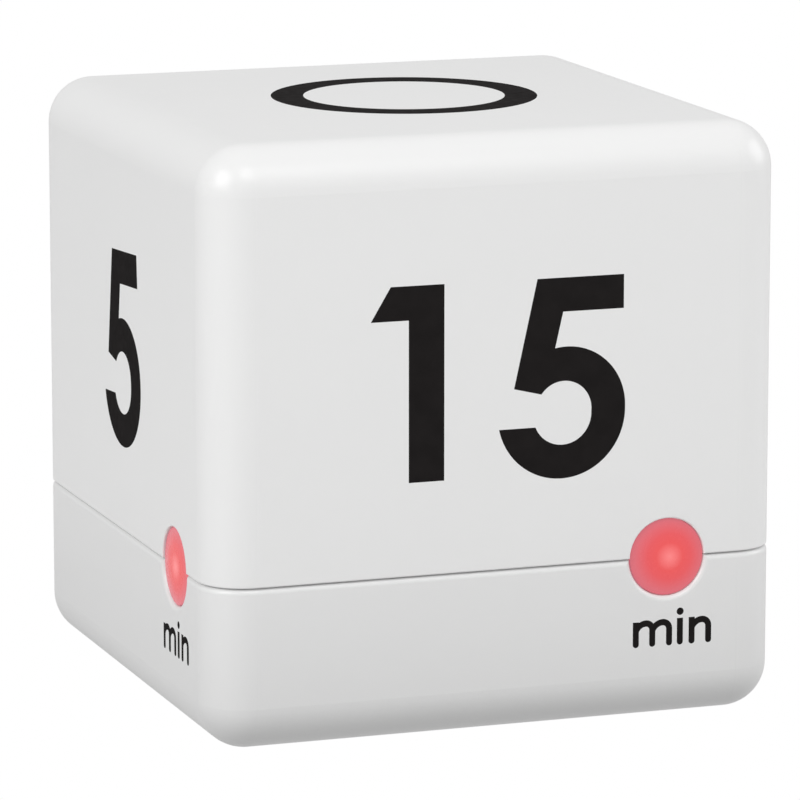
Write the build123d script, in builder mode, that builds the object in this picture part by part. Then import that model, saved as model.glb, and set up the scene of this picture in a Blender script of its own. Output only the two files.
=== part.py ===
"""Cube countdown timer, in millimetres.

The cube stands on its base, with the origin at the centre of the base, +Z up and the 15-minute
face towards -Y.  Turning the cube so that another number is on top starts that countdown.
"""

from build123d import *

import os
from math import cos, radians, sin, sqrt

os.makedirs("parts", exist_ok=True)

# ---------------------------------------------------------------- driving dimensions
cube = 63.5
half = cube / 2
edge_radius = 5.0
wall = 2.2
inner = half - wall

# The case parts at the seam.  A lip on the lower shell stands inside a rebate of the upper one.
seam = 17.8
seam_gap = 0.1
base_top = seam - seam_gap / 2
cover_bottom = seam + seam_gap / 2
base_rim_radius = 0.6
cover_rim_radius = 0.18
lip_outer = inner + 1.0
lip_top = seam + 1.7
rebate_outer = lip_outer + 0.1
rebate_top = lip_top + 0.2

# Minutes printed on each side face, and how far that face is turned from the front.
face_turns = {"15": 0, "30": 90, "60": 180, "5": 270}
ink_depth = 0.08

# A signal lens sits across the seam near the right-hand edge of each side face.
lens_across = 18.7
lens_radius = 4.1
lens_bore_radius = 4.2
flange_radius = 5.4
flange_depth = (2.25, 3.35)
saddle_reach = 6.8
saddle_thickness = 1.0
saddle_depth = 4.5
saddle_height = 6.5
saddle_hole = 3.2
lens_recess = (2.6, 1.85)

# Four screws at the corners hold the shells together from below.
post_place = 24.0
post_radius = 3.1
post_top = 17.0
case_screw_seat = 11.5
case_screw_end = 25.5
case_screw_radius = 0.98
case_screw_head = (2.2, 1.7)
screw_clearance = 0.37
posts = [(x, y) for x in (-post_place, post_place) for y in (-post_place, post_place)]

# Battery compartment: limits of its inside in X and Y, with two AAA cells side by side.
bay_x = 25.4
bay_y = (-20.4, 2.1)
bay_top = 13.0
bay_wall = 1.2
door_seat = 1.5
door_opening_x = 25.2
door_opening_y = (-20.8, 2.5)
cell_radius = 5.25
cell_length = 44.5
cell_tip = 24.2
cell_z = 7.3
cell_places = [(-14.8, 1), (-3.5, -1)]
plate_thickness = 0.35

# Main board, carrying the tilt sensors and the signal lights, above the battery compartment.
board_thickness = 1.2
main_board_half = 26.4
main_board_z = 14.8
main_board_top = main_board_z + board_thickness
main_standoffs = [(-12, -24.9), (12, -24.9), (-12, 25), (12, 25)]
standoff_radius = 2.3
standoff_pilot = 0.8
lead_end = main_board_z - 0.4
light_z = main_board_top + 1.9

# Display board, with the liquid crystal display, the buzzer and the sound switch under it.
display_board_x = 28.0
display_board_y = (3.7, 21.1)
display_board_z = 8.0
display_board_top = display_board_z + board_thickness
display_posts = [(-26.2, 5.6), (26.2, 5.6), (-26.2, 13.4), (26.2, 13.4)]
display_post_radius = 1.7
display_post_pilot = 0.7
lead_hole = 0.45
display_place = (-5, 12.4)
buzzer_place = (18.2, 9.6)
switch_place = (17.8, 18.0)
switch_travel = 1.5
link_places = [(-23, 11.5 + 2.54 * (n - 1.5)) for n in range(4)]

all_min = (Align.CENTER, Align.CENTER, Align.MIN)


# ---------------------------------------------------------------- helpers
def save(piece, name):
    """Label a finished piece and write it as a STEP file of the same name."""
    piece.part.label = name
    export_step(piece.part, f"parts/{name}.step")


def middle(limits):
    return (limits[0] + limits[1]) / 2


def length(limits):
    return limits[1] - limits[0]


def block(x, y, z, mode=Mode.ADD):
    """Box between the two limits given for each axis."""
    with Locations((middle(x), middle(y), middle(z))):
        Box(length(x), length(y), length(z), mode=mode)


def upright(place, z, radius, mode=Mode.ADD):
    """Vertical cylinder at a place, between two heights."""
    with Locations((place[0], place[1], z[0])):
        Cylinder(radius, length(z), align=all_min, mode=mode)


def face_plane(turn):
    """Plane of a side face: x to the right seen from outside, y up from the base, z outward."""
    a = radians(turn)
    return Plane(
        origin=(half * sin(a), -half * cos(a), 0),
        x_dir=(cos(a), sin(a), 0),
        z_dir=(sin(a), -cos(a), 0),
    )


def face_block(turn, across, up, depth, mode=Mode.ADD):
    """Box behind a side face, by its limits across, up and in depth from the face."""
    with Locations(face_plane(turn)):
        with Locations((middle(across), middle(up), -middle(depth))):
            Box(length(across), length(up), length(depth), mode=mode)


def face_bore(turn, radius, depth):
    """Round hole on the lens axis of a side face, between two depths."""
    with Locations(face_plane(turn)):
        with Locations((lens_across, seam, -middle(depth))):
            Cylinder(radius, length(depth), mode=Mode.SUBTRACT)


def axial_plane(turn, z):
    """Plane through the light axis of a side face: x across it, y outward along it."""
    a = radians(turn)
    return Plane(
        origin=(half * sin(a) + lens_across * cos(a), -half * cos(a) + lens_across * sin(a), z),
        x_dir=(cos(a), sin(a), 0),
        z_dir=(0, 0, -1),
    )


def axial_line(turn, z):
    plane = axial_plane(turn, z)
    return Axis(plane.origin, plane.y_dir)


def reach(edge):
    """How far out from the cube's vertical centre line an edge's middle is."""
    centre = edge.center()
    return max(abs(centre.X), abs(centre.Y))


# ---------------------------------------------------------------- printed figures
# Every figure stands on the line y = 0.  The 3 and the 6 share the round bowl.
cap_height = 20.7
stem = 3.9
stroke = 3.6
bowl_outer = 7.0
bowl_inner = bowl_outer - stroke
bowl_y = 6.3


def bowl_point(radius, x):
    """Point of the bowl's upper half at x."""
    return (x, bowl_y + sqrt(radius**2 - x**2))


def figure_one():
    flag_foot = cap_height - stroke
    with BuildSketch() as figure:
        with BuildLine():
            Polyline(
                (0, 0),
                (stem, 0),
                (stem, cap_height),
                (-1.97, cap_height),
                (-4.15, flag_foot),
                (0, flag_foot),
                close=True,
            )
        make_face()
    return figure.sketch


def figure_five():
    """A straight flag and neck over a bowl, whose outer and inner edges are two arcs each."""
    bar_top = cap_height - 0.07
    bar_foot = bar_top - stroke
    bar_end = 6.7
    neck = (-0.95, 13.2)
    outer_side = (6.93, 6.6)
    outer_jaw = (-7.15, 4.94)
    inner_jaw = (-3.1, 4.94)
    inner_side = (3.13, 6.3)
    heel = (-2.45, 8.4)
    with BuildSketch() as figure:
        with BuildLine():
            Polyline(heel, (-5.5, 9.15), (-2.95, bar_top), (bar_end, bar_top), (bar_end, bar_foot),
                     (-0.07, bar_foot), neck)
            ThreePointArc(neck, (5.2, 11.2), outer_side)
            ThreePointArc(outer_side, (-0.2, -0.68), outer_jaw)
            Line(outer_jaw, inner_jaw)
            ThreePointArc(inner_jaw, (-0.1, 2.92), inner_side)
            ThreePointArc(inner_side, (0.15, 9.7), heel)
        make_face()
    return figure.sketch


def figure_zero():
    across = 6.85
    tall = cap_height / 2 + 0.45
    with BuildSketch() as figure:
        with Locations((0, cap_height / 2)):
            Ellipse(across, tall)
            Ellipse(across - stroke, tall - stroke, mode=Mode.SUBTRACT)
    return figure.sketch


def figure_three():
    cap_outer = 5.5
    cap_y = cap_height + 0.35 - cap_outer
    mouth = (-1.6, 4.9)
    with BuildSketch() as figure:
        with Locations((0, bowl_y)):
            Circle(bowl_outer)
        with Locations((0, cap_y)):
            Circle(cap_outer)
            Circle(cap_outer - stroke, mode=Mode.SUBTRACT)
        with Locations((0, bowl_y)):
            Circle(bowl_inner, mode=Mode.SUBTRACT)
        with Locations(mouth):
            Rectangle(8, cap_y - mouth[1], align=(Align.MAX, Align.MIN), mode=Mode.SUBTRACT)
    return figure.sketch


def figure_six():
    lean = radians(60)
    root = (-bowl_outer * sin(lean), bowl_y + bowl_outer * cos(lean))
    tip_x = root[0] + (cap_height - root[1]) * cos(lean) / sin(lean)
    with BuildSketch() as figure:
        with Locations((0, bowl_y)):
            Circle(bowl_outer)
        with BuildLine():
            Polyline(
                root,
                (tip_x, cap_height),
                (tip_x + 4.3, cap_height),
                bowl_point(bowl_outer - 0.05, 0.27),
                close=True,
            )
        make_face()
        with Locations((0, bowl_y)):
            Circle(bowl_inner, mode=Mode.SUBTRACT)
    return figure.sketch


def word_min():
    """The unit "min" in a rounded pen stroke, centred on x = 0."""
    pen = 0.69
    end = pen / 2
    arch_top = 2.93 - end
    shoulder = 0.72
    branch = 0.85
    arches = [(-4.1, -2.23), (-2.23, -0.31), (2.26, 4.16)]
    stems = [(-4.1, 2.77), (0.92, 2.9), (2.26, 2.9)]
    with BuildSketch() as word:
        for left, right in arches:
            with BuildLine():
                Line((right, end), (right, arch_top - shoulder))
                RadiusArc((right, arch_top - shoulder), (right - shoulder, arch_top), -shoulder)
                TangentArc((right - shoulder, arch_top), (left, arch_top - branch), tangent=(-1, 0))
            trace(line_width=pen)
            with Locations((right, end)):
                Circle(end)
        for x, top in stems:
            with Locations((x, end)):
                Circle(end)
            with Locations((x, middle((end, top)))):
                Rectangle(pen, top - end)
        with Locations((0.93, 3.62)):
            Circle(0.4)
    return word.sketch


# Figures of each side, each with the place of its own middle and its turn.  The lone 5 is a little
# narrower than the others and printed slightly askew.
figure_base = 27.8
five = figure_five()
side_figures = {
    "5": [(scale(five, by=(0.95, 1, 1)), 1.04, 3.8)],
    "15": [(figure_one(), -10.25, 0), (five, 6.85, 0)],
    "30": [(figure_three(), -7.35, 0), (figure_zero(), 8.0, 0)],
    "60": [(figure_six(), -7.9, 0), (figure_zero(), 7.9, 0)],
}
ring_outer = 14.45
ring_inner = 10.93
ring_place = (0.8, 1.1)
min_figure = word_min()
min_place = (19.3, 8.2)


def side_legend(minutes):
    """One side's number, on the plane of its face."""
    with BuildSketch(face_plane(face_turns[minutes])) as legend:
        for figure, x, turn in side_figures[minutes]:
            with Locations(Location((x, figure_base, 0), (0, 0, turn))):
                add(figure)
    return legend.sketch


def min_legend(turn):
    """The unit under a lens, on the plane of its face."""
    with BuildSketch(face_plane(turn)) as legend:
        with Locations(min_place):
            add(min_figure)
    return legend.sketch


def ring_legend():
    """The ring on the top face, which marks the resting side."""
    with BuildSketch(Plane.XY.offset(cube)) as legend:
        with Locations(ring_place):
            Circle(ring_outer)
            Circle(ring_inner, mode=Mode.SUBTRACT)
    return legend.sketch


for minutes in face_turns:
    with BuildPart() as legend:
        extrude(side_legend(minutes), amount=-ink_depth)
    save(legend, f"legend_{minutes}")

with BuildPart() as legend_min:
    for turn in face_turns.values():
        extrude(min_legend(turn), amount=-ink_depth)
save(legend_min, "legend_min")

with BuildPart() as legend_ring:
    extrude(ring_legend(), amount=-ink_depth)
save(legend_ring, "legend_ring")


# ---------------------------------------------------------------- case shells
with BuildPart() as outer_form:
    Box(cube, cube, cube, align=all_min)
    fillet(outer_form.edges(), edge_radius)

with BuildPart() as inner_form:
    with Locations((0, 0, wall)):
        Box(2 * inner, 2 * inner, cube - 2 * wall, align=all_min)
    fillet(inner_form.edges(), edge_radius - wall)


def square_band(z, outer, inside, mode=Mode.ADD):
    """Rounded square band between two heights, concentric with the case's corners."""
    with BuildSketch(Plane.XY.offset(z[0])) as band:
        RectangleRounded(2 * outer, 2 * outer, edge_radius - half + outer)
        if inside:
            RectangleRounded(2 * inside, 2 * inside, edge_radius - half + inside, mode=Mode.SUBTRACT)
    extrude(band.sketch, amount=length(z), mode=mode)


def lens_saddle(turn, up, root_up):
    """Half of the bracket that holds a lens against the wall, joined to the wall over root_up."""
    left = lens_across - saddle_reach
    right = lens_across + saddle_reach
    plate = (saddle_depth - saddle_thickness, saddle_depth)
    face_block(turn, (left, right), up, plate)
    for across in ((left, left + saddle_thickness), (right - saddle_thickness, right)):
        face_block(turn, across, up, (wall + 0.1, saddle_depth))
        face_block(turn, across, root_up, (wall - 0.2, saddle_depth))
    face_bore(turn, saddle_hole, (wall + 0.1, saddle_depth + 0.1))


with BuildPart() as upper_shell:
    add(outer_form.part)
    split(bisect_by=Plane.XY.offset(cover_bottom), keep=Keep.TOP)
    for turn in face_turns.values():
        face_bore(turn, lens_bore_radius, (0, 6))
    rim = [e for e in upper_shell.edges() if reach(e) > half - 1.75 and e.center().Z < seam + 6]
    fillet(rim, cover_rim_radius)
    add(inner_form.part, mode=Mode.SUBTRACT)
    square_band((cover_bottom, rebate_top), rebate_outer, 0, mode=Mode.SUBTRACT)

    ceiling = cube - wall + 0.5
    gusset_bottom = seam + flange_radius - 1.0
    gusset_half = 0.6
    pilot_depth = 11
    for x, y in posts:
        upright((x, y), (post_top, ceiling), post_radius)
        side_x = sorted((x, x * (inner + 0.3) / post_place))
        side_y = sorted((y, y * (inner + 0.3) / post_place))
        block(side_x, (y - gusset_half, y + gusset_half), (gusset_bottom, ceiling))
        block((x - gusset_half, x + gusset_half), side_y, (gusset_bottom, ceiling))
        upright((x, y), (post_top, post_top + pilot_depth), case_screw_radius + 0.02, mode=Mode.SUBTRACT)
    for turn in face_turns.values():
        up = (cover_bottom, cover_bottom + saddle_height)
        lens_saddle(turn, up, (rebate_top, up[1]))

    for minutes in face_turns:
        extrude(side_legend(minutes), amount=-ink_depth, mode=Mode.SUBTRACT)
    extrude(ring_legend(), amount=-ink_depth, mode=Mode.SUBTRACT)
save(upper_shell, "upper_shell")

tab_places = (-14, 14)
tab_width = 6.0
tab_slot_width = tab_width + 0.6
tab_slot_z = (2.2, 4.6)
thumb_scoop = (3.5, 10, -2.4)
contact_tab_width = 2.0
contact_tab_x = (bay_x - 0.05 - plate_thickness, bay_x - 0.05)
window_size = (27, 12.5, 1.1)
window_aperture = (24, 9.5)
sound_hole = 0.6
sound_hole_ring = 2.6
knob_recess = (11, 5.2, 1.1)
knob_slot = (7.5, 3.3)

with BuildPart() as lower_shell:
    add(outer_form.part)
    split(bisect_by=Plane.XY.offset(base_top), keep=Keep.BOTTOM)
    for turn in face_turns.values():
        face_bore(turn, lens_bore_radius, (0, 6))
    rim = [e for e in lower_shell.edges() if reach(e) > half - 1.75 and e.center().Z > seam - 6]
    fillet(rim, base_rim_radius)
    add(inner_form.part, mode=Mode.SUBTRACT)
    square_band((base_top, lip_top), lip_outer, inner)
    for turn in face_turns.values():
        face_bore(turn, lens_bore_radius, (0, wall + 0.1))
        up = (base_top - saddle_height, base_top)
        lens_saddle(turn, up, up)

    # Battery compartment, its door opening and the slots for the door's hooks.
    bay_outer_y = (bay_y[0] - bay_wall, bay_y[1] + bay_wall)
    block((-bay_x - bay_wall, bay_x + bay_wall), bay_outer_y, (1, bay_top + bay_wall))
    block((-bay_x, bay_x), bay_y, (door_seat, bay_top), mode=Mode.SUBTRACT)
    with BuildSketch():
        with Locations((0, middle(door_opening_y))):
            RectangleRounded(2 * door_opening_x, length(door_opening_y), 1.2)
    extrude(amount=door_seat, mode=Mode.SUBTRACT)
    for x in tab_places:
        slot_x = (x - tab_slot_width / 2, x + tab_slot_width / 2)
        block(slot_x, (bay_outer_y[0] - 0.1, bay_y[0] + 0.1), tab_slot_z, mode=Mode.SUBTRACT)
    for y, _ in cell_places:
        slot_y = (y - contact_tab_width / 2 - 0.15, y + contact_tab_width / 2 + 0.15)
        slot_x = (contact_tab_x[0] - 0.15, contact_tab_x[1] + 0.15)
        block(slot_x, slot_y, (bay_top - 0.1, bay_top + bay_wall + 0.1), mode=Mode.SUBTRACT)

    # Thumb scoop beside the door.
    with Locations((0, door_opening_y[1], thumb_scoop[2])):
        Cylinder(thumb_scoop[0], thumb_scoop[1], rotation=(0, 90, 0), mode=Mode.SUBTRACT)

    # Screw posts and board posts.
    for place in posts:
        upright(place, (1, post_top), post_radius)
        upright(place, (0, case_screw_seat), case_screw_head[0] + 0.2, mode=Mode.SUBTRACT)
        clearance_radius = case_screw_radius + screw_clearance
        upright(place, (case_screw_seat, post_top), clearance_radius, mode=Mode.SUBTRACT)
    for place in main_standoffs:
        upright(place, (wall - 0.2, main_board_z), standoff_radius)
        upright(place, (5, main_board_z), standoff_pilot, mode=Mode.SUBTRACT)
    for place in display_posts:
        upright(place, (wall - 0.2, display_board_z), display_post_radius)
        upright(place, (3.5, display_board_z), display_post_pilot, mode=Mode.SUBTRACT)

    # Display window, sound holes and sound switch in the base.
    with BuildSketch():
        with Locations(display_place):
            RectangleRounded(window_size[0], window_size[1], 1.5)
    extrude(amount=window_size[2], mode=Mode.SUBTRACT)
    with Locations((display_place[0], display_place[1], 0)):
        Box(window_aperture[0], window_aperture[1], 3 * wall, mode=Mode.SUBTRACT)
    upright(buzzer_place, (0, wall), sound_hole, mode=Mode.SUBTRACT)
    with Locations((buzzer_place[0], buzzer_place[1], wall / 2)):
        with PolarLocations(sound_hole_ring, 6):
            Cylinder(sound_hole, wall, mode=Mode.SUBTRACT)
    with BuildSketch():
        with Locations(switch_place):
            RectangleRounded(knob_recess[0], knob_recess[1], 1.0)
    extrude(amount=knob_recess[2], mode=Mode.SUBTRACT)
    with Locations((switch_place[0], switch_place[1], 0)):
        Box(knob_slot[0], knob_slot[1], 3 * wall, mode=Mode.SUBTRACT)

    for turn in face_turns.values():
        extrude(min_legend(turn), amount=-ink_depth, mode=Mode.SUBTRACT)
save(lower_shell, "lower_shell")


# ---------------------------------------------------------------- signal lenses
for minutes, turn in face_turns.items():
    with BuildPart() as lens:
        with BuildSketch(axial_plane(turn, seam)):
            with BuildLine():
                ThreePointArc((0, -0.1), (lens_radius / 2, -0.14), (lens_radius, -0.3))
                Polyline(
                    (lens_radius, -0.3),
                    (lens_radius, -flange_depth[0]),
                    (flange_radius, -flange_depth[0]),
                    (flange_radius, -flange_depth[1]),
                    (lens_recess[0], -flange_depth[1]),
                    (lens_recess[0], -lens_recess[1]),
                    (0, -lens_recess[1]),
                    (0, -0.1),
                )
            make_face()
        revolve(axis=axial_line(turn, seam))
    save(lens, f"lens_{minutes}")


# ---------------------------------------------------------------- screws
def cross_recess(place, z, size):
    """Cross-shaped driver recess between two heights."""
    for x_size, y_size in ((size, size / 4), (size / 4, size)):
        with Locations((place[0], place[1], z[0])):
            Box(x_size, y_size, length(z), align=all_min, mode=Mode.SUBTRACT)


with BuildPart() as case_screws:
    head_radius, head_height = case_screw_head
    for place in posts:
        upright(place, (case_screw_seat - head_height, case_screw_seat), head_radius)
        upright(place, (case_screw_seat, case_screw_end), case_screw_radius)
        cross_recess(place, (case_screw_seat - head_height, case_screw_seat - 0.6), head_radius * 1.2)
save(case_screws, "case_screws")


def board_screws(places, top, head_radius, shank):
    """Pan head screws standing on a board, with their shanks down into the posts."""
    for place in places:
        upright(place, (top, top + 1.1), head_radius)
        upright(place, (top - 5.5, top), shank)
        cross_recess(place, (top + 0.4, top + 1.1), head_radius * 1.2)


with BuildPart() as main_board_screws:
    board_screws(main_standoffs, main_board_top, 1.7, 0.78)
save(main_board_screws, "main_board_screws")

with BuildPart() as display_board_screws:
    board_screws(display_posts, display_board_top, 1.5, 0.68)
save(display_board_screws, "display_board_screws")


# ---------------------------------------------------------------- battery door
door_bottom = 0.05
door_top = door_seat - 0.05
door_gap = 0.2
door_y = (door_opening_y[0] + door_gap, door_opening_y[1] - door_gap)
tab_root = (-20.3, -19.3)
tab_tip = -22.0
tab_z = (2.4, 3.3)
latch_width = 8
latch_y = (0.9, 1.7)
latch_top = 3.6
nub_z = (2.6, 3.2)
groove_radius = 0.35
groove_length = 9
groove_places = (-3.5, -2.0, -0.5)

with BuildPart() as battery_door:
    with BuildSketch(Plane.XY.offset(door_bottom)):
        with Locations((0, middle(door_y))):
            RectangleRounded(2 * (door_opening_x - door_gap), length(door_y), 1.0)
    extrude(amount=door_top - door_bottom)
    for x in tab_places:
        tab_x = (x - tab_width / 2, x + tab_width / 2)
        block(tab_x, tab_root, (door_top - 0.5, tab_z[1]))
        block(tab_x, (tab_tip, tab_root[1]), tab_z)
    # Latch finger with its nub.
    latch_x = (-latch_width / 2, latch_width / 2)
    block(latch_x, latch_y, (door_top - 0.5, latch_top))
    block(latch_x, (latch_y[1] - 0.1, latch_y[1] + 0.15), nub_z)
    # Grip grooves in front of the thumb scoop.
    for y in groove_places:
        with Locations((0, y, door_bottom)):
            Cylinder(groove_radius, groove_length, rotation=(0, 90, 0), mode=Mode.SUBTRACT)
save(battery_door, "battery_door")

with BuildPart() as door_foam:
    block((-16, 16), (-12.6, -5.7), (door_top, cell_z - cell_radius - 0.05))
save(door_foam, "door_foam")


# ---------------------------------------------------------------- cells and contacts
def along_x(place, x, radius):
    """Cylinder along X at a (y, z) place, between two values of x."""
    with Locations((middle(x), place[0], place[1])):
        Cylinder(radius, length(x), rotation=(0, 90, 0))


button_radius = 1.9
button_height = 0.9
for number, (y, end) in enumerate(cell_places, 1):
    tip = end * cell_tip
    shoulder = end * (cell_tip - button_height)
    tail = end * (cell_tip - cell_length)
    with BuildPart() as cell:
        along_x((y, cell_z), sorted((tail, shoulder)), cell_radius)
        fillet(cell.edges().filter_by(GeomType.CIRCLE), 0.5)
        along_x((y, cell_z), sorted((shoulder, tip)), button_radius)
    save(cell, f"battery_{number}")

plate_x = bay_x - 0.05
plate_face = plate_x - plate_thickness
plate_z = (3.4, 11.6)
plate_half = 4.8


def contact_dimple(y, side):
    """Raised button of a contact plate, which meets a cell's tip."""
    height = plate_face - cell_tip - 0.05
    with Locations((side * (plate_face - height / 2), y, cell_z)):
        Cone(2.6, 1.8, height, rotation=(0, -90 * side, 0))


with BuildPart() as bridge_contact:
    block((-plate_x, -plate_face), (cell_places[0][0] - plate_half, cell_places[1][0] + plate_half), plate_z)
    contact_dimple(cell_places[1][0], -1)
save(bridge_contact, "bridge_contact")

for name, y in (("positive_contact", cell_places[0][0]), ("negative_contact", cell_places[1][0])):
    with BuildPart() as contact:
        block((plate_face, plate_x), (y - plate_half, y + plate_half), plate_z)
        tab_y = (y - contact_tab_width / 2, y + contact_tab_width / 2)
        block((plate_face, plate_x), tab_y, (plate_z[1], main_board_top + 0.8))
        if name == "positive_contact":
            contact_dimple(y, 1)
    save(contact, name)

# A tapering coil presses on each cell's flat end.
wire_radius = 0.28
spring_length = plate_face - (cell_length - cell_tip) - 2 * wire_radius - 0.1
with BuildPart() as coil_form:
    with BuildLine() as coil:
        Helix(spring_length / 3, spring_length, 4.0, direction=(1, 0, 0), cone_angle=-18)
    with BuildSketch(Plane(origin=coil.line @ 0, z_dir=coil.line % 0)):
        Circle(wire_radius)
    sweep(path=coil.line, is_frenet=True)

for number, (y, end) in enumerate(cell_places, 1):
    foot = (-end * (plate_face - wire_radius - 0.05), y, cell_z)
    with BuildPart() as spring:
        with Locations(Location(foot, (0, 0, 90 - 90 * end))):
            add(coil_form.part)
    save(spring, f"spring_{number}")


# ---------------------------------------------------------------- main board
light_lead_spread = 1.27
light_back = 22.9
light_lead_place = light_back - 1.0
tilt_places = {"x": (0, -12, 0), "y": (-12, 6, 90)}
tilt_z = main_board_top + 2.7
tilt_length = 11.0
tilt_lead_place = tilt_length / 2 + 0.9
capacitor_place = (10, 8)
capacitor_leads = [(capacitor_place[0] - 1, capacitor_place[1]), (capacitor_place[0] + 1, capacitor_place[1])]


def turned(turn, across, out):
    """Place in X and Y, from distances across and out from the centre towards a side face."""
    a = radians(turn)
    return (across * cos(a) + out * sin(a), across * sin(a) - out * cos(a))


light_leads = [
    turned(turn, lens_across + side * light_lead_spread, light_lead_place)
    for turn in face_turns.values()
    for side in (-1, 1)
]
tilt_leads = [
    (x + side * tilt_lead_place * cos(radians(turn)), y + side * tilt_lead_place * sin(radians(turn)))
    for x, y, turn in tilt_places.values()
    for side in (-1, 1)
]

with BuildPart() as main_board:
    with BuildSketch(Plane.XY.offset(main_board_z)):
        Rectangle(2 * main_board_half, 2 * main_board_half)
        with Locations(*posts):
            Circle(post_radius + 0.4, mode=Mode.SUBTRACT)
        with Locations(*main_standoffs):
            Circle(standoff_pilot + 0.3, mode=Mode.SUBTRACT)
        with Locations(*light_leads, *tilt_leads, *capacitor_leads, *link_places):
            Circle(lead_hole, mode=Mode.SUBTRACT)
        with Locations(*[(middle(contact_tab_x), y) for y, _ in cell_places]):
            Rectangle(plate_thickness + 0.3, contact_tab_width + 0.3, mode=Mode.SUBTRACT)
    extrude(amount=board_thickness)
save(main_board, "main_board")

led_radius = 1.5
led_rim_radius = 1.9
led_rim_thickness = 1.0
for minutes, turn in face_turns.items():
    tip_depth = 3.55
    back_depth = half - light_back
    with BuildPart() as led:
        with BuildSketch(axial_plane(turn, light_z)):
            with BuildLine():
                Polyline(
                    (0, -tip_depth),
                    (0, -back_depth),
                    (led_rim_radius, -back_depth),
                    (led_rim_radius, -back_depth + led_rim_thickness),
                    (led_radius, -back_depth + led_rim_thickness),
                    (led_radius, -tip_depth - led_radius),
                )
                RadiusArc((led_radius, -tip_depth - led_radius), (0, -tip_depth), -led_radius)
            make_face()
        revolve(axis=axial_line(turn, light_z))
    save(led, f"led_{minutes}")

lead_half = 0.25
with BuildPart() as led_leads:
    for turn in face_turns.values():
        for side in (-1, 1):
            across = lens_across + side * light_lead_spread
            limits = (across - lead_half, across + lead_half)
            fold = half - light_lead_place
            face_block(turn, limits, (light_z - lead_half, light_z + lead_half),
                       (half - light_back, fold + lead_half))
            face_block(turn, limits, (lead_end, light_z + lead_half), (fold - lead_half, fold + lead_half))
save(led_leads, "led_leads")


# ---------------------------------------------------------------- tilt sensors
# A steel ball in each tube rolls to the lower end and closes that end's contact.
tube_outer = 2.6
tube_inner = 2.1
plug_thickness = 1.5
ball_radius = 1.75
pin_radius = 0.3
ball_z = tilt_z - (tube_inner - ball_radius - 0.05)

for name, (x, y, turn) in tilt_places.items():
    sensor_axis = Plane(origin=(x, y, tilt_z), x_dir=(cos(radians(turn)), sin(radians(turn)), 0))
    plug_centre = (tilt_length - plug_thickness) / 2
    pin_inner = tilt_length / 2 - plug_thickness - 0.2

    with BuildPart() as tube:
        with Locations(sensor_axis):
            Cylinder(tube_outer, tilt_length, rotation=(0, 90, 0))
            Cylinder(tube_inner, tilt_length, rotation=(0, 90, 0), mode=Mode.SUBTRACT)
    save(tube, f"tilt_tube_{name}")

    with BuildPart() as plugs:
        with Locations(sensor_axis):
            with Locations((-plug_centre, 0, 0), (plug_centre, 0, 0)):
                Cylinder(tube_inner - 0.03, plug_thickness, rotation=(0, 90, 0))
                Cylinder(pin_radius + 0.05, plug_thickness, rotation=(0, 90, 0), mode=Mode.SUBTRACT)
    save(plugs, f"tilt_plugs_{name}")

    with BuildPart() as pins:
        with Locations(sensor_axis):
            for side in (-1, 1):
                pin_x = sorted((side * pin_inner, side * (tilt_lead_place + 0.3)))
                with Locations((middle(pin_x), 0, 0)):
                    Cylinder(pin_radius, length(pin_x), rotation=(0, 90, 0))
                with Locations((side * tilt_lead_place, 0, lead_end - tilt_z)):
                    Cylinder(pin_radius, tilt_z - lead_end, align=all_min)
    save(pins, f"tilt_pins_{name}")

    with BuildPart() as ball:
        with Locations((x, y, ball_z)):
            Sphere(ball_radius)
    save(ball, f"tilt_ball_{name}")


# ---------------------------------------------------------------- small parts on the main board
with BuildPart() as capacitor:
    capacitor_radius, capacitor_height = 2.5, 7
    upright(capacitor_place, (main_board_top, main_board_top + capacitor_height), capacitor_radius)
    fillet(capacitor.edges().filter_by(GeomType.CIRCLE), 0.3)
    for place in capacitor_leads:
        upright(place, (lead_end, main_board_top + 0.5), 0.3)
save(capacitor, "capacitor")

# One eight-leg amplifier chip, and a resistor beside each light.
chip_x = (2, 12)
chip_y = (-6, -2)
leg_pitch = 1.27
leg_half = 0.2
with BuildPart() as chip_parts:
    block(chip_x, chip_y, (main_board_top + 0.1, main_board_top + 1.7))
    for n in range(8):
        leg_x = middle(chip_x) + leg_pitch * (n - 3.5)
        leg_y = (chip_y[0] - 1, chip_y[1] + 1)
        block((leg_x - leg_half, leg_x + leg_half), leg_y, (main_board_top, main_board_top + 0.3))
    for turn in face_turns.values():
        place = turned(turn, lens_across - 5, 20)
        with Locations((place[0], place[1], main_board_top)):
            Box(2.0, 1.25, 0.5, align=all_min)
save(chip_parts, "chip_parts")


# ---------------------------------------------------------------- display board
with BuildPart() as display_board:
    with BuildSketch(Plane.XY.offset(display_board_z)):
        with Locations((0, middle(display_board_y))):
            Rectangle(2 * display_board_x, length(display_board_y))
        with Locations(*posts):
            Circle(post_radius + 0.3, mode=Mode.SUBTRACT)
        with Locations(*display_posts):
            Circle(display_post_pilot + 0.3, mode=Mode.SUBTRACT)
        with Locations(*link_places):
            Circle(lead_hole, mode=Mode.SUBTRACT)
    extrude(amount=board_thickness)
save(display_board, "display_board")

blob_place = (0, 12)
with BuildPart() as chip_blob:
    blob_radius, blob_height = 4.5, 1.4
    dome = (blob_radius**2 + blob_height**2) / (2 * blob_height)
    with Locations((blob_place[0], blob_place[1], display_board_top + blob_height - dome)):
        Sphere(dome)
    split(bisect_by=Plane.XY.offset(display_board_top), keep=Keep.TOP)
save(chip_blob, "chip_blob")

with BuildPart() as crystal_can:
    can_radius = 1.0
    along_x((15.5, display_board_top + can_radius + 0.05), (8, 14), can_radius)
    fillet(crystal_can.edges().filter_by(GeomType.CIRCLE), 0.25)
save(crystal_can, "crystal_can")

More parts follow.
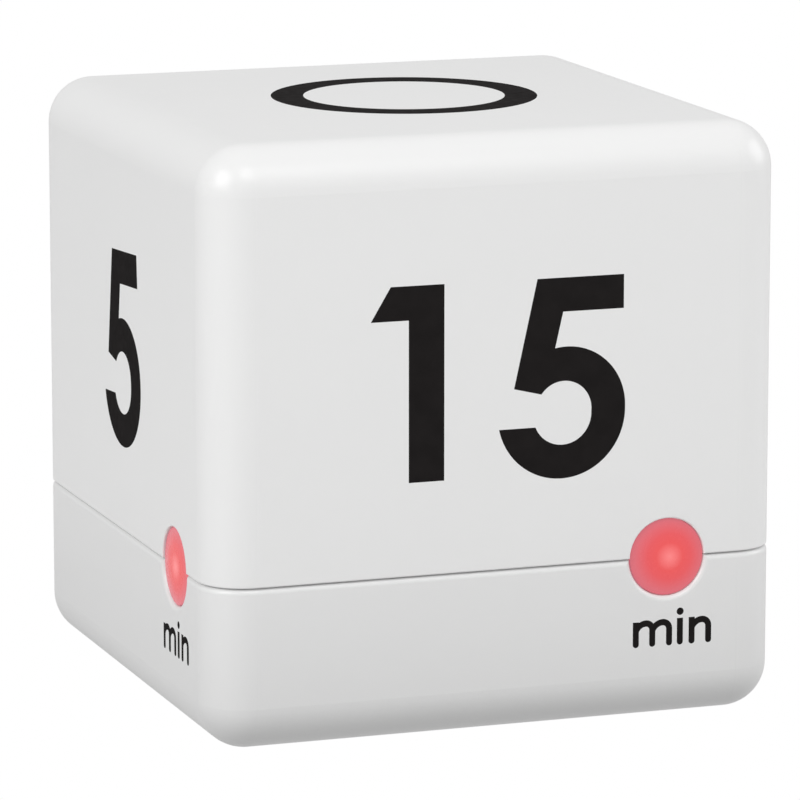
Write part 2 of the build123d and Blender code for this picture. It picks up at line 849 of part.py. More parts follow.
link_radius = 0.32
header_half = (1.25, 5.1)
header_z = (display_board_top, display_board_top + 2.5)
with BuildPart() as link_header:
    header_x, header_y = link_places[0][0], middle((link_places[0][1], link_places[3][1]))
    block((header_x - header_half[0], header_x + header_half[0]),
          (header_y - header_half[1], header_y + header_half[1]), header_z)
    for place in link_places:
        upright(place, header_z, link_radius + 0.08, mode=Mode.SUBTRACT)
save(link_header, "link_header")

with BuildPart() as link_pins:
    for place in link_places:
        upright(place, (display_board_z - 0.8, main_board_top + 0.8), link_radius)
save(link_pins, "link_pins")


# ---------------------------------------------------------------- liquid crystal display
# From the base up: gasket, front glass, rear glass, and conductive strips to the board.
gasket_top = wall + 0.3
front_top = gasket_top + 0.9
rear_top = front_top + 0.9
frame_size = (31, 17.4)
glass_size = (28, 15)
gasket_hole = (24.6, 10.1)
rear_width = 10.6
strip_reach = 6.4
strip_size = (26, 1.8)


def display_block(size, z, mode=Mode.ADD):
    """Box centred on the display, between two heights."""
    with Locations((display_place[0], display_place[1], z[0])):
        Box(size[0], size[1], length(z), align=all_min, mode=mode)


with BuildPart() as lcd_frame:
    display_block(frame_size, (wall, display_board_z))
    pocket = (glass_size[0] + 0.3, glass_size[1] + 0.3)
    display_block(pocket, (wall, rear_top + 0.1), mode=Mode.SUBTRACT)
    for side in (-1, 1):
        with Locations((display_place[0], display_place[1] + side * strip_reach, rear_top)):
            Box(strip_size[0] + 0.3, strip_size[1] + 0.3, display_board_z - rear_top,
                align=all_min, mode=Mode.SUBTRACT)
save(lcd_frame, "lcd_frame")

with BuildPart() as lcd_gasket:
    display_block(glass_size, (wall, gasket_top))
    display_block(gasket_hole, (wall, gasket_top), mode=Mode.SUBTRACT)
save(lcd_gasket, "lcd_gasket")

with BuildPart() as lcd_front_glass:
    display_block(glass_size, (gasket_top, front_top))
save(lcd_front_glass, "lcd_front_glass")

with BuildPart() as lcd_rear_glass:
    display_block((glass_size[0], rear_width), (front_top, rear_top))
save(lcd_rear_glass, "lcd_rear_glass")

with BuildPart() as zebra_strips:
    for side in (-1, 1):
        with Locations((display_place[0], display_place[1] + side * strip_reach, front_top)):
            Box(strip_size[0], strip_size[1], display_board_z - front_top, align=all_min)
save(zebra_strips, "zebra_strips")

with BuildPart() as lcd_window:
    with BuildSketch(Plane.XY.offset(0.15)):
        with Locations(display_place):
            RectangleRounded(window_size[0] - 0.2, window_size[1] - 0.2, 1.4)
    extrude(amount=window_size[2] - 0.15)
save(lcd_window, "lcd_window")


# ---------------------------------------------------------------- buzzer
buzzer_bottom = wall + 0.4
buzzer_step = 5.6
buzzer_floor = buzzer_bottom + 0.8
buzzer_radius = 5.0
chamber_radius = 3.7
disc_radius = 4.25

with BuildPart() as buzzer_gasket:
    upright(buzzer_place, (wall, buzzer_bottom), buzzer_radius)
    upright(buzzer_place, (wall, buzzer_bottom), chamber_radius + 0.2, mode=Mode.SUBTRACT)
save(buzzer_gasket, "buzzer_gasket")

with BuildPart() as buzzer_case:
    upright(buzzer_place, (buzzer_bottom, display_board_z), buzzer_radius)
    upright(buzzer_place, (buzzer_step, display_board_z), disc_radius + 0.05, mode=Mode.SUBTRACT)
    upright(buzzer_place, (buzzer_floor, buzzer_step), chamber_radius, mode=Mode.SUBTRACT)
    upright(buzzer_place, (buzzer_bottom, buzzer_floor), 1.1, mode=Mode.SUBTRACT)
save(buzzer_case, "buzzer_case")

# A brass disc with its thinner ceramic layer on top.
with BuildPart() as buzzer_disc:
    upright(buzzer_place, (buzzer_step, buzzer_step + 0.2), disc_radius)
    upright(buzzer_place, (buzzer_step + 0.2, buzzer_step + 0.4), 2.9)
save(buzzer_disc, "buzzer_disc")


# ---------------------------------------------------------------- sound switch
def switch_block(size, z, mode=Mode.ADD):
    """Box centred on the switch, between two heights."""
    with Locations((switch_place[0], switch_place[1], z[0])):
        Box(size[0], size[1], length(z), align=all_min, mode=mode)


switch_bottom = 4.4
actuator = 1.6
switch_wall = 0.4
switch_size = (8.5, 3.6)

with BuildPart() as switch_housing:
    switch_block(switch_size, (switch_bottom, display_board_z))
    cavity = (switch_size[0] - 2 * switch_wall, switch_size[1] - 2 * switch_wall)
    cavity_z = (switch_bottom + switch_wall, display_board_z - switch_wall)
    switch_block(cavity, cavity_z, mode=Mode.SUBTRACT)
    slot_length = actuator + 2 * switch_travel + 0.3
    switch_block((slot_length, actuator + 0.3), (switch_bottom, cavity_z[0]), mode=Mode.SUBTRACT)
save(switch_housing, "switch_housing")

with BuildPart() as switch_slider:
    switch_block((actuator, actuator), (3.2, switch_bottom + 1))
    switch_block((3.6, 2.5), (switch_bottom + 0.6, display_board_z - 0.6))
save(switch_slider, "switch_slider")

# A thumb grip with five grooves under a cover plate, and a socket for the slider above it.
knob_plate = (wall + 0.05, wall + 0.85)
knob_bottom = 0.3
grip_size = (4, 3)
grip_pitch = 0.7
socket_z = (knob_plate[1], switch_bottom - 0.2)
with BuildPart() as switch_knob:
    switch_block((10.6, 4.4), knob_plate)
    switch_block(grip_size, (knob_bottom, knob_plate[0]))
    for n in range(-2, 3):
        with Locations((switch_place[0] + grip_pitch * n, switch_place[1], knob_bottom)):
            Cylinder(0.2, grip_size[1], rotation=(90, 0, 0), mode=Mode.SUBTRACT)
    switch_block((actuator + 2.0, actuator + 2.0), socket_z)
    switch_block((actuator + 0.1, actuator + 0.1), socket_z, mode=Mode.SUBTRACT)
save(switch_knob, "switch_knob")
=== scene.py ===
"""Looks of the cube countdown timer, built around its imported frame.

Lengths are in metres, in the frame's own axes: the cube stands on z = 0, its 15-minute face looks
along -Y, its 5-minute face along -X, and the display and battery door are underneath.
"""

import math

import bmesh
import bpy
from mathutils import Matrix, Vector


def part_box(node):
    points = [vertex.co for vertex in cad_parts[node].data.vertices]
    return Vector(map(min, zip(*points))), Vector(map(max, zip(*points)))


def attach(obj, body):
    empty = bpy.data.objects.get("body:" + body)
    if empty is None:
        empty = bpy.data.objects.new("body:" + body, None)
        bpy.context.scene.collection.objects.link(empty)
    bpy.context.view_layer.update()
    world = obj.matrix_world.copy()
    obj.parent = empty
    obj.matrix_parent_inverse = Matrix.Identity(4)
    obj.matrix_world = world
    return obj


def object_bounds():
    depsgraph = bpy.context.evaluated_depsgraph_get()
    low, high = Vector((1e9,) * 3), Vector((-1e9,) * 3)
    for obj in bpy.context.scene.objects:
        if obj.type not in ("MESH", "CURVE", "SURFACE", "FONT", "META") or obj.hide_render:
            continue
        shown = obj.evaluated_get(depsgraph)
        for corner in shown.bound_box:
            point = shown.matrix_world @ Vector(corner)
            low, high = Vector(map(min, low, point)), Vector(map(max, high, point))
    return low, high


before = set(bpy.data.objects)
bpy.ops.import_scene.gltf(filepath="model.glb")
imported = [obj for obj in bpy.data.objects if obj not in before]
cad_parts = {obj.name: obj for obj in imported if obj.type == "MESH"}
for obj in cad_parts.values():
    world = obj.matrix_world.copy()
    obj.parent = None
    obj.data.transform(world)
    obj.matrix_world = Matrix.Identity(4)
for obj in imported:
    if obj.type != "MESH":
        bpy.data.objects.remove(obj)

MM = 0.001
CAD_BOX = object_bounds()


# ---------------------------------------------------------------- node helpers
class Shader:
    """A new material with one Principled shader, and short ways to add nodes to it."""

    def __init__(self, name):
        self.material = bpy.data.materials.new(name)
        self.material.use_nodes = True
        self.tree = self.material.node_tree
        self.surface = self.tree.nodes["Principled BSDF"]
        self.place = self.add("ShaderNodeTexCoord").outputs["Object"]

    def add(self, kind, **settings):
        node = self.tree.nodes.new(kind)
        for key, value in settings.items():
            setattr(node, key, value)
        return node

    def link(self, source, target):
        self.tree.links.new(source, target)

    def set(self, **values):
        """Set the Principled shader's own sockets, with _ for a space in their names."""
        for key, value in values.items():
            self.surface.inputs[key.replace("_", " ")].default_value = value

    def noise(self, size, detail=2.0):
        """Noise with features of about the given size."""
        node = self.add("ShaderNodeTexNoise")
        node.inputs["Scale"].default_value = 1 / size
        node.inputs["Detail"].default_value = detail
        self.link(self.place, node.inputs["Vector"])
        return node.outputs["Fac"]

    def ramp(self, source, stops, interpolation="LINEAR"):
        """Colour ramp through (position, colour) stops."""
        node = self.add("ShaderNodeValToRGB")
        node.color_ramp.interpolation = interpolation
        elements = node.color_ramp.elements
        while len(elements) < len(stops):
            elements.new(0.5)
        for element, (position, colour) in zip(elements, stops):
            element.position = position
            element.color = (*colour, 1.0)
        self.link(source, node.inputs["Fac"])
        return node.outputs["Color"]

    def range(self, source, low, high, start=0.0, end=1.0):
        """Map start..end of a value to low..high."""
        node = self.add("ShaderNodeMapRange")
        node.inputs["From Min"].default_value = start
        node.inputs["From Max"].default_value = end
        node.inputs["To Min"].default_value = low
        node.inputs["To Max"].default_value = high
        self.link(source, node.inputs["Value"])
        return node.outputs["Result"]

    def bump(self, height, distance, normal=None):
        """Bumps as high as the given distance, over those of another bump's normal."""
        node = self.add("ShaderNodeBump")
        node.inputs["Distance"].default_value = distance
        node.inputs["Strength"].default_value = 1.0
        self.link(height, node.inputs["Height"])
        if normal is not None:
            self.link(normal, node.inputs["Normal"])
        return node.outputs["Normal"]

    def colour(self, source):
        self.link(source, self.surface.inputs["Base Color"])

    def roughness(self, source):
        self.link(source, self.surface.inputs["Roughness"])

    def normal(self, source):
        self.link(source, self.surface.inputs["Normal"])


def tint(colour, factor):
    """Colour made lighter or darker by a factor."""
    return tuple(min(1.0, c * factor) for c in colour)


def moulded(name, colour, roughness=0.4, mottle=0.02, grain=0.004 * MM, ripple=0.02 * MM, **values):
    """Moulded plastic: faint mottling, uneven gloss, fine grain and shallow sink ripples."""
    shader = Shader(name)
    patches = shader.noise(14 * MM, detail=1)
    shader.colour(shader.ramp(patches, [(0.2, tint(colour, 1 - mottle)), (0.8, tint(colour, 1 + mottle))]))
    gloss = shader.noise(3 * MM, detail=2)
    shader.roughness(shader.range(gloss, roughness - 0.02, roughness + 0.02, 0.2, 0.8))
    ripples = shader.bump(shader.noise(11 * MM, detail=1), ripple)
    shader.normal(shader.bump(shader.noise(0.25 * MM, detail=3), grain, normal=ripples))
    shader.set(IOR=1.53, **values)
    return shader.material


def metal(name, colour, roughness=0.25, grain=0.002 * MM):
    """Plated metal with fine drawn grain and uneven gloss."""
    shader = Shader(name)
    patches = shader.noise(1.5 * MM, detail=3)
    shader.colour(shader.ramp(patches, [(0.3, tint(colour, 0.93)), (0.7, tint(colour, 1.05))]))
    gloss = shader.noise(0.6 * MM, detail=4)
    shader.roughness(shader.range(gloss, roughness - 0.07, roughness + 0.1, 0.3, 0.7))
    shader.normal(shader.bump(shader.noise(0.15 * MM, detail=2), grain))
    shader.set(Metallic=1.0)
    return shader.material


def dress(material, *nodes):
    """Give CAD nodes their final material."""
    for name in nodes:
        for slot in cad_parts[name].material_slots:
            slot.material = material


# ---------------------------------------------------------------- white case
WHITE = (0.815, 0.815, 0.813)
# The base's white is the case white made a little darker: painted shade on the lower shell and its battery
# door.
SHADED_BASE_WHITE = tint(WHITE, 0.955)
CASE_ROUGHNESS = 0.30
dress(moulded("white_case", WHITE, CASE_ROUGHNESS, mottle=0.004), "upper_shell")
dress(moulded("shaded_white_base", SHADED_BASE_WHITE, CASE_ROUGHNESS, mottle=0.004), "lower_shell", "battery_door")


# ---------------------------------------------------------------- printed ink
def printed_ink():
    """Pad-printed ink: almost black, a little uneven, and duller than the plastic."""
    shader = Shader("black_print")
    tones = [(0.3, (0.0140, 0.0126, 0.0126)), (0.7, (0.0170, 0.0152, 0.0152))]
    shader.colour(shader.ramp(shader.noise(2 * MM, detail=5), tones))
    shader.roughness(shader.range(shader.noise(0.8 * MM, detail=3), 0.55, 0.68, 0.3, 0.7))
    shader.normal(shader.bump(shader.noise(0.12 * MM, detail=2), 0.003 * MM))
    shader.set(Specular_IOR_Level=0.005)
    return shader.material


dress(printed_ink(), "legend_5", "legend_15", "legend_30", "legend_60", "legend_min", "legend_ring")


# ---------------------------------------------------------------- signal lenses
LENS_RIM = 4.2 * MM
GLOW_SHIFT = 0.3 * MM

# Direction to the right of each side face, as seen from outside.
RIGHT_OF_FACE = {"5": (0, -1, 0), "15": (1, 0, 0), "30": (0, 1, 0), "60": (-1, 0, 0)}

# Glow and colour of the plastic, from over the lamp to the rim.
LENS_GLOW = [
    (0.0, (0.55, 0.222, 0.222)),
    (0.16, (0.49, 0.155, 0.157)),
    (0.34, (0.41, 0.074, 0.074)),
    (0.55, (0.39, 0.076, 0.082)),
    (0.85, (0.33, 0.122, 0.146)),
    (1.0, (0.28, 0.116, 0.146)),
]
LENS_PLASTIC = [(0.0, (0.50, 0.030, 0.030)), (1.0, (0.46, 0.045, 0.055))]


def lens_material(name, lamp, across):
    """Milky red lens over a lit lamp: the glow falls off from the lamp's place to the rim."""
    shader = Shader(name)
    offset = shader.add("ShaderNodeVectorMath", operation="SUBTRACT")
    offset.inputs[1].default_value = lamp
    shader.link(shader.place, offset.inputs[0])
    flat = shader.add("ShaderNodeVectorMath", operation="MULTIPLY")
    flat.inputs[1].default_value = (abs(across[0]), abs(across[1]), 1)
    shader.link(offset.outputs["Vector"], flat.inputs[0])
    radius = shader.add("ShaderNodeVectorMath", operation="LENGTH")
    shader.link(flat.outputs["Vector"], radius.inputs[0])
    share = shader.range(radius.outputs["Value"], 0.0, 1.0, 0.0, LENS_RIM + GLOW_SHIFT)
    shader.link(shader.ramp(share, LENS_GLOW), shader.surface.inputs["Emission Color"])
    shader.set(Emission_Strength=1.0, Specular_IOR_Level=0.2)
    shader.colour(shader.ramp(share, LENS_PLASTIC))
    shader.roughness(shader.range(shader.noise(1.2 * MM, detail=3), 0.22, 0.32, 0.3, 0.7))
    shader.normal(shader.bump(shader.noise(0.3 * MM, detail=2), 0.004 * MM))
    return shader.material


# Each lamp sits a little to the right of its lens's middle, as seen from outside.
for minutes, right in RIGHT_OF_FACE.items():
    node = f"lens_{minutes}"
    low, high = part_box(node)
    lamp = (low + high) / 2 + Vector(right) * GLOW_SHIFT
    dress(lens_material(f"red_lens_{minutes}", lamp, right), node)


# ---------------------------------------------------------------- circuit boards
SOLDER_MASK = [(0.0, (0.010, 0.105, 0.030)), (1.0, (0.035, 0.230, 0.060))]
LAMINATE = [(0.3, (0.33, 0.28, 0.12)), (0.7, (0.42, 0.36, 0.17))]

# Colour sockets of a Mix node that mixes colours: its two inputs, and its output.
MIX_FIRST, MIX_SECOND, MIX_RESULT = 6, 7, 2


def board_material(name):
    """Green solder mask over faint copper tracks, with the bare laminate at the cut edges."""
    shader = Shader(name)
    tracks = shader.add("ShaderNodeTexBrick", offset=0.37, offset_frequency=2,
                        squash=0.6, squash_frequency=3)
    tracks.inputs["Scale"].default_value = 1 / (6 * MM)
    tracks.inputs["Mortar Size"].default_value = 0.045
    tracks.inputs["Mortar Smooth"].default_value = 0.15
    shader.link(shader.place, tracks.inputs["Vector"])
    mask = shader.ramp(tracks.outputs["Fac"], SOLDER_MASK)
    laminate = shader.ramp(shader.noise(0.4 * MM, detail=3), LAMINATE)
    normal = shader.add("ShaderNodeSeparateXYZ")
    shader.link(shader.add("ShaderNodeNewGeometry").outputs["True Normal"], normal.inputs["Vector"])
    level = shader.add("ShaderNodeMath", operation="ABSOLUTE")
    shader.link(normal.outputs["Z"], level.inputs[0])
    mix = shader.add("ShaderNodeMix", data_type="RGBA")
    shader.link(level.outputs["Value"], mix.inputs["Factor"])
    shader.link(laminate, mix.inputs[MIX_FIRST])
    shader.link(mask, mix.inputs[MIX_SECOND])
    shader.colour(mix.outputs[MIX_RESULT])
    shader.roughness(shader.range(shader.noise(2 * MM, detail=3), 0.28, 0.40, 0.3, 0.7))
    shader.normal(shader.bump(tracks.outputs["Fac"], 0.03 * MM))
    return shader.material


dress(board_material("solder_mask"), "main_board", "display_board")


# ---------------------------------------------------------------- cells
# Bands along a cell from its button: start of the band, its colour, and how metallic it is.
CELL_BANDS = [
    (0.0, (0.62, 0.61, 0.59), 1.0),  # steel button
    (0.022, (0.72, 0.72, 0.68), 0.0),  # pale insulating ring
    (0.040, (0.60, 0.30, 0.13), 0.8),  # copper-coloured band
    (0.33, (0.020, 0.020, 0.022), 0.1),  # black body
    (0.985, (0.62, 0.61, 0.59), 1.0),  # steel foot
]


def cell_material(name, button, tail):
    """Printed sleeve of a cell that lies along X, between the X of its button and of its foot."""
    shader = Shader(name)
    along = shader.add("ShaderNodeSeparateXYZ")
    shader.link(shader.place, along.inputs["Vector"])
    share = shader.range(along.outputs["X"], 0.0, 1.0, button, tail)
    shader.colour(shader.ramp(share, [(start, colour) for start, colour, _ in CELL_BANDS], "CONSTANT"))
    sheen = shader.ramp(share, [(start, (sheen,) * 3) for start, _, sheen in CELL_BANDS], "CONSTANT")
    shader.link(sheen, shader.surface.inputs["Metallic"])
    shader.roughness(shader.range(shader.noise(1.5 * MM, detail=3), 0.24, 0.34, 0.3, 0.7))
    shader.normal(shader.bump(shader.noise(4 * MM, detail=2), 0.02 * MM))
    return shader.material


for node, points_right in (("battery_1", True), ("battery_2", False)):
    low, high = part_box(node)
    ends = (high.x, low.x) if points_right else (low.x, high.x)
    dress(cell_material(f"sleeve_of_{node}", *ends), node)


# ---------------------------------------------------------------- other materials
dress(moulded("black_moulding", (0.016, 0.016, 0.017), roughness=0.45, mottle=0.12),
      "switch_knob", "switch_slider", "buzzer_case", "link_header", "tilt_plugs_x", "tilt_plugs_y",
      "chip_parts")
dress(moulded("black_gloss", (0.012, 0.012, 0.013), roughness=0.18, mottle=0.15), "chip_blob", "capacitor")
dress(moulded("grey_moulding", (0.50, 0.50, 0.48), roughness=0.5), "lcd_frame")
dress(moulded("soft_rubber", (0.045, 0.043, 0.043), roughness=0.8, mottle=0.1, grain=0.02 * MM),
      "lcd_gasket", "buzzer_gasket", "zebra_strips", "door_foam")
dress(moulded("lamp_epoxy", (0.62, 0.03, 0.03), roughness=0.15), "led_5", "led_15", "led_30", "led_60")
dress(metal("nickel", (0.62, 0.61, 0.58)),
      "case_screws", "main_board_screws", "display_board_screws", "crystal_can", "switch_housing",
      "bridge_contact", "positive_contact", "negative_contact", "spring_1", "spring_2")
dress(metal("tinned_wire", (0.70, 0.70, 0.68), roughness=0.35), "led_leads", "tilt_pins_x", "tilt_pins_y")
dress(metal("steel_ball", (0.72, 0.72, 0.73), roughness=0.12), "tilt_ball_x", "tilt_ball_y")
dress(metal("brass", (0.78, 0.57, 0.25), roughness=0.3),
      "tilt_tube_x", "tilt_tube_y", "buzzer_disc", "link_pins")
dress(moulded("display_glass", (0.36, 0.40, 0.33), roughness=0.2, mottle=0.03),
      "lcd_front_glass", "lcd_rear_glass")
dress(moulded("clear_window", (0.92, 0.93, 0.92), roughness=0.07, mottle=0.004, grain=0.0,
              ripple=0.004 * MM, Transmission_Weight=1.0), "lcd_window")


# ---------------------------------------------------------------- added pieces
def piece(name, mesh, material, body):
    """Show a mesh as a piece of the timer that moves with a body."""
    obj = bpy.data.objects.new(name, mesh)
    bpy.context.scene.collection.objects.link(obj)
    mesh.materials.append(material)
    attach(obj, body)


def square(half):
    """Corners of a square about the origin, anticlockwise."""
    return [(-half, -half), (half, -half), (half, half), (-half, half)]


def prism(bm, outline, low, high):
    """Closed prism over an outline in X and Y, listed anticlockwise as seen from above."""
    bottom = [bm.verts.new((x, y, low)) for x, y in outline]
    top = [bm.verts.new((x, y, high)) for x, y in outline]
    bm.faces.new(list(reversed(bottom)))
    bm.faces.new(top)
    for n in range(len(outline)):
        after = (n + 1) % len(outline)
        bm.faces.new((bottom[n], bottom[after], top[after], top[n]))


def finished(bm, name):
    """Mesh with its faces turned outwards."""
    bmesh.ops.recalc_face_normals(bm, faces=bm.faces)
    mesh = bpy.data.meshes.new(name)
    bm.to_mesh(mesh)
    bm.free()
    return mesh


# Liquid crystal digits under the front glass, read from below with the 15-minute side on top.
SEGMENTS = {"0": "abcdef", "1": "bc", "5": "acdfg"}
READING = (("1", -8.3 * MM), ("5", -3.2 * MM), ("0", 3.2 * MM), ("0", 8.3 * MM))
DIGIT_SIZE = (3.5 * MM, 6.6 * MM)
DIGIT_SHEAR = 0.08
DIGIT_DEPTHS = (0.05 * MM, 0.01 * MM)
SEGMENT_WIDTH = 0.85 * MM
SEGMENT_GAP = 0.12 * MM
COLON_RISE = 1.3 * MM
COLON_HALF = SEGMENT_WIDTH * 0.45


def segment_outline(along_x, length, centre):
    """Pointed bar of a seven-segment digit."""
    reach, side = length / 2, SEGMENT_WIDTH / 2
    points = [(-reach, 0), (-reach + side, -side), (reach - side, -side), (reach, 0),
              (reach - side, side), (-reach + side, side)]
    if not along_x:
        points = [(-y, x) for x, y in points]
    return [(x + centre[0], y + centre[1]) for x, y in points]


def digit_outlines(figure):
    """Outlines of the segments that show a figure, about the figure's middle."""
    width, height = DIGIT_SIZE
    across = width - SEGMENT_GAP
    tall = height / 2 - SEGMENT_GAP
    bars = {
        "a": (True, across, (0, height / 2)),
        "b": (False, tall, (width / 2, height / 4)),
        "c": (False, tall, (width / 2, -height / 4)),
        "d": (True, across, (0, -height / 2)),
        "e": (False, tall, (-width / 2, -height / 4)),
        "f": (False, tall, (-width / 2, height / 4)),
        "g": (True, across, (0, 0)),
    }
    return [segment_outline(*bars[letter]) for letter in SEGMENTS[figure]]


def make_display_digits():
    glass_low, glass_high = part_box("lcd_front_glass")
    centre = (glass_low + glass_high) / 2
    low, high = (glass_low.z - depth for depth in DIGIT_DEPTHS)
    bm = bmesh.new()

    def draw(outline, place):
        shown = [(x + DIGIT_SHEAR * y + place, y) for x, y in outline]
        prism(bm, [(centre.x + x, centre.y - y) for x, y in shown], low, high)

    for figure, place in READING:
        for outline in digit_outlines(figure):
            draw(outline, place)
    for y in (-COLON_RISE, COLON_RISE):
        draw([(dx, y + dy) for dx, dy in square(COLON_HALF)], 0.0)
    ink = moulded("display_ink", (0.012, 0.013, 0.014), roughness=0.35, mottle=0.1)
    piece("display_digits", finished(bm, "display_digits"), ink, "case")


# Raised arrow on the battery door, pointing at the edge with the tabs.
ARROW_HALF_WIDTH = 2.4 * MM
ARROW_LENGTH = 2.6 * MM
ARROW_FROM_EDGE = 9.5 * MM
ARROW_PROUD = 0.04 * MM
ARROW_SUNK = 0.02 * MM


def make_door_arrow():
    low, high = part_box("battery_door")
    y = high.y - ARROW_FROM_EDGE
    bm = bmesh.new()
    prism(bm, [(-ARROW_HALF_WIDTH, y), (0.0, y - ARROW_LENGTH), (ARROW_HALF_WIDTH, y)],
          low.z - ARROW_PROUD, low.z + ARROW_SUNK)
    # The arrow takes the base's darker white, the same painted shade as the lower shell.
    plastic = moulded("white_arrow", SHADED_BASE_WHITE, CASE_ROUGHNESS, mottle=0.006)
    piece("door_arrow", finished(bm, "door_arrow"), plastic, "battery_door")


# Solder fillet round a pin: radius and height above the board, from its foot to its tip.
SOLDER_PROFILE = [
    (0.85 * MM, 0.01 * MM),
    (0.80 * MM, 0.10 * MM),
    (0.52 * MM, 0.28 * MM),
    (0.40 * MM, 0.50 * MM),
    (0.0, 0.60 * MM),
]
SOLDER_SIDES = 14
PIN_FOOT = 0.05 * MM


def lathe(bm, place, profile, sides):
    """Body of revolution about a vertical axis, from (radius, height) points."""
    rings = []
    for radius, height in profile:
        if radius == 0:
            rings.append([bm.verts.new((place[0], place[1], height))])
            continue
        angles = [2 * math.pi * n / sides for n in range(sides)]
        rings.append([
            bm.verts.new((place[0] + radius * math.cos(a), place[1] + radius * math.sin(a), height))
            for a in angles
        ])
    for lower, upper in zip(rings, rings[1:]):
        for n in range(sides):
            after = (n + 1) % sides
            corners = [lower[n % len(lower)], lower[after % len(lower)],
                       upper[after % len(upper)], upper[n % len(upper)]]
            bm.faces.new(list(dict.fromkeys(corners)))
    for ring, flip in ((rings[0], True), (rings[-1], False)):
        if len(ring) > 1:
            bm.faces.new(list(reversed(ring)) if flip else ring)


def make_solder(name, places, surface, direction):
    """Solder fillets round the pins that come through a board's surface, up (1) or down (-1)."""
    profile = [(radius, surface + direction * height) for radius, height in SOLDER_PROFILE]
    bm = bmesh.new()
    for place in places:
        lathe(bm, place, profile, SOLDER_SIDES)
    mesh = finished(bm, name)
    for face in mesh.polygons:
        face.use_smooth = True
    piece(name, mesh, metal(f"{name}_tin", (0.74, 0.74, 0.72), roughness=0.3), "case")


def island_places(node, count):
    """Middles, in X and Y, of the lower ends of a node's separate pins."""
    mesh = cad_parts[node].data
    parent = list(range(len(mesh.vertices)))

    def root(n):
        while parent[n] != n:
            parent[n] = parent[parent[n]]
            n = parent[n]
        return n

    welded = {}
    for vertex in mesh.vertices:
        key = tuple(round(c, 7) for c in vertex.co)
        parent[vertex.index] = root(welded.setdefault(key, vertex.index))
    for edge in mesh.edges:
        parent[root(edge.vertices[0])] = root(edge.vertices[1])
    groups = {}
    for vertex in mesh.vertices:
        groups.setdefault(root(vertex.index), []).append(vertex.co)
    lowest = []
    for points in groups.values():
        bottom = min(p.z for p in points)
        feet = [p for p in points if p.z < bottom + PIN_FOOT]
        lowest.append((sum(p.x for p in feet) / len(feet), sum(p.y for p in feet) / len(feet)))
    assert len(lowest) == count, (node, len(lowest))
    return sorted(lowest)


make_display_digits()
make_door_arrow()
lead_places = island_places("led_leads", 8)
lead_places += island_places("tilt_pins_x", 2)
lead_places += island_places("tilt_pins_y", 2)
make_solder("main_board_solder", lead_places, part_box("main_board")[0].z, -1)
make_solder("link_solder", island_places("link_pins", 4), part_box("display_board")[0].z, -1)


# ---------------------------------------------------------------- camera
VIEW_TURN = math.radians(-19.386)
VIEW_RISE = math.radians(11.037)
VIEW_DISTANCE = 608.2 * MM
VIEW_TARGET = Vector((-0.14, -0.28, 30.13)) * MM
VIEW_FOCAL_LENGTH = 250.43  # millimetres, as Blender takes it
VIEW_SENSOR = 36.0


def make_camera():
    back = Vector((
        math.sin(VIEW_TURN) * math.cos(VIEW_RISE),
        -math.cos(VIEW_TURN) * math.cos(VIEW_RISE),
        math.sin(VIEW_RISE),
    ))
    data = bpy.data.cameras.new("camera")
    data.lens = VIEW_FOCAL_LENGTH
    data.sensor_width = VIEW_SENSOR
    camera = bpy.data.objects.new("camera", data)
    camera.location = VIEW_TARGET + back * VIEW_DISTANCE
    camera.rotation_mode = "QUATERNION"
    camera.rotation_quaternion = (-back).to_track_quat("-Z", "Y")
    bpy.context.scene.collection.objects.link(camera)
    bpy.context.scene.camera = camera


make_camera()


# ---------------------------------------------------------------- studio
FLOOR_HALF = 3.0
FLOOR_DROP = 0.05 * MM
TABLE_HALF = 0.6
TABLE_DROP = 0.1 * MM
TABLE_OPENING = 18 * MM
TABLE_GREY = [(0.3, (0.77, 0.77, 0.77)), (0.7, (0.79, 0.79, 0.79))]
ROOM_LEVEL = 0.478
MIRRORED_LEVEL = 0.68

# Soft boxes: side in metres, power in watts, and place.
SOFT_BOXES = {
    "key_light": (0.6, 4.2, (-0.80, -0.33, 0.58)),
    "front_light": (0.3, 0.86, (0.0, -0.40, 0.50)),
    "right_fill": (0.6, 2.8, (0.90, -0.20, 0.40)),
    "top_light": (1.0, 0.6, (0.10, 0.30, 0.90)),
}
LIGHT_TARGET = Vector((0, 0, 30 * MM))


def flat_mesh(name, verts, faces, z):
    """Flat stage mesh at a height, from (x, y) corners."""
    mesh = bpy.data.meshes.new(name)
    mesh.from_pydata([(x, y, z) for x, y in verts], [], faces)
    obj = bpy.data.objects.new(name, mesh)
    bpy.context.scene.collection.objects.link(obj)
    return obj


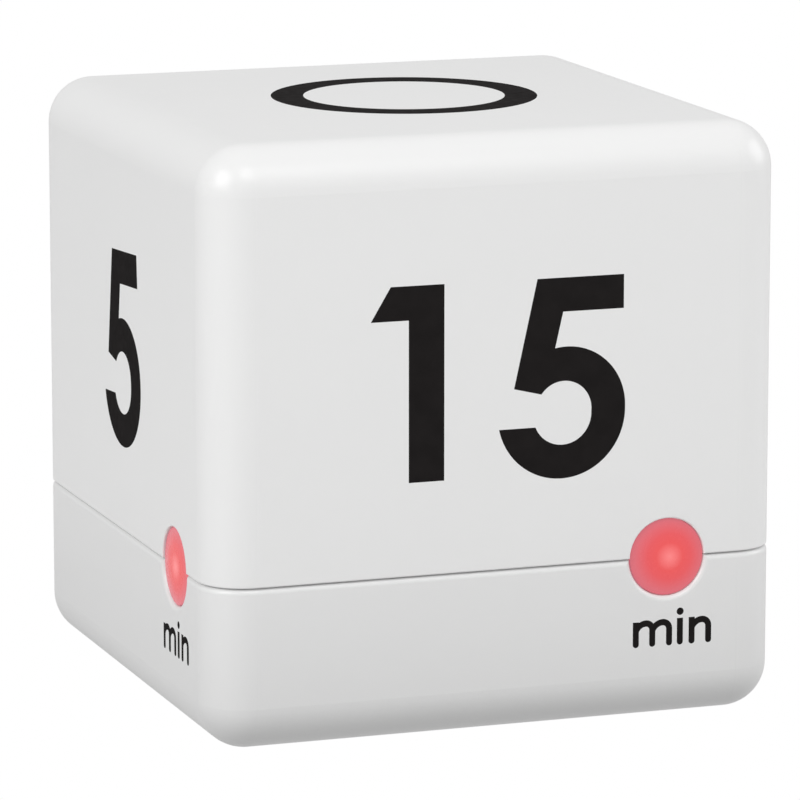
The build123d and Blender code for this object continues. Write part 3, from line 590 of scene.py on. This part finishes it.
def make_floor():
    """White floor that only the camera sees, and sees through from below, so the base shows."""
    floor = flat_mesh("floor", square(FLOOR_HALF), [(0, 1, 2, 3)], -FLOOR_DROP)
    paint = bpy.data.materials.new("floor_white")
    paint.use_nodes = True
    tree = paint.node_tree
    tree.nodes.clear()
    output = tree.nodes.new("ShaderNodeOutputMaterial")
    mix = tree.nodes.new("ShaderNodeMixShader")
    white = tree.nodes.new("ShaderNodeEmission")
    clear = tree.nodes.new("ShaderNodeBsdfTransparent")
    side = tree.nodes.new("ShaderNodeNewGeometry")
    tree.links.new(side.outputs["Backfacing"], mix.inputs["Fac"])
    tree.links.new(white.outputs["Emission"], mix.inputs[1])
    tree.links.new(clear.outputs["BSDF"], mix.inputs[2])
    tree.links.new(mix.outputs["Shader"], output.inputs["Surface"])
    floor.data.materials.append(paint)
    floor.visible_diffuse = False
    floor.visible_glossy = False
    floor.visible_transmission = False
    floor.visible_shadow = False


def make_table():
    """Table that lights the timer's sides from below, unseen by the camera and open round its foot."""
    opening = (CAD_BOX[1].x - CAD_BOX[0].x) / 2 + TABLE_OPENING
    verts = square(TABLE_HALF) + square(opening)
    faces = [(n, (n + 1) % 4, (n + 1) % 4 + 4, n + 4) for n in range(4)]
    table = flat_mesh("table", verts, faces, -TABLE_DROP)
    shader = Shader("table_grey")
    shader.colour(shader.ramp(shader.noise(40 * MM), TABLE_GREY))
    shader.set(Roughness=0.8, Specular_IOR_Level=0.2)
    table.data.materials.append(shader.material)
    table.visible_camera = False


def soft_box(name, side, power, position):
    """Square area light that faces the timer."""
    data = bpy.data.lights.new(name, "AREA")
    data.shape = "SQUARE"
    data.size = side
    data.energy = power
    light = bpy.data.objects.new(name, data)
    light.location = position
    light.rotation_mode = "QUATERNION"
    light.rotation_quaternion = (LIGHT_TARGET - Vector(position)).to_track_quat("-Z", "Y")
    bpy.context.scene.collection.objects.link(light)


def make_world():
    """Even grey room, lighter in the timer's reflections and plain white to the camera."""
    world = bpy.data.worlds.new("studio")
    world.use_nodes = True
    tree = world.node_tree
    tree.nodes.clear()

    def background(level):
        node = tree.nodes.new("ShaderNodeBackground")
        node.inputs["Color"].default_value = (level, level, level, 1)
        return node.outputs["Background"]

    path = tree.nodes.new("ShaderNodeLightPath")
    shown = background(ROOM_LEVEL)
    for ray, level in (("Is Glossy Ray", MIRRORED_LEVEL), ("Is Camera Ray", 1.0)):
        mix = tree.nodes.new("ShaderNodeMixShader")
        tree.links.new(path.outputs[ray], mix.inputs["Fac"])
        tree.links.new(shown, mix.inputs[1])
        tree.links.new(background(level), mix.inputs[2])
        shown = mix.outputs["Shader"]
    output = tree.nodes.new("ShaderNodeOutputWorld")
    tree.links.new(shown, output.inputs["Surface"])
    bpy.context.scene.world = world


make_floor()
make_table()
make_world()
for name, (side, power, position) in SOFT_BOXES.items():
    soft_box(name, side, power, position)
bpy.context.scene.view_settings.view_transform = "Standard"
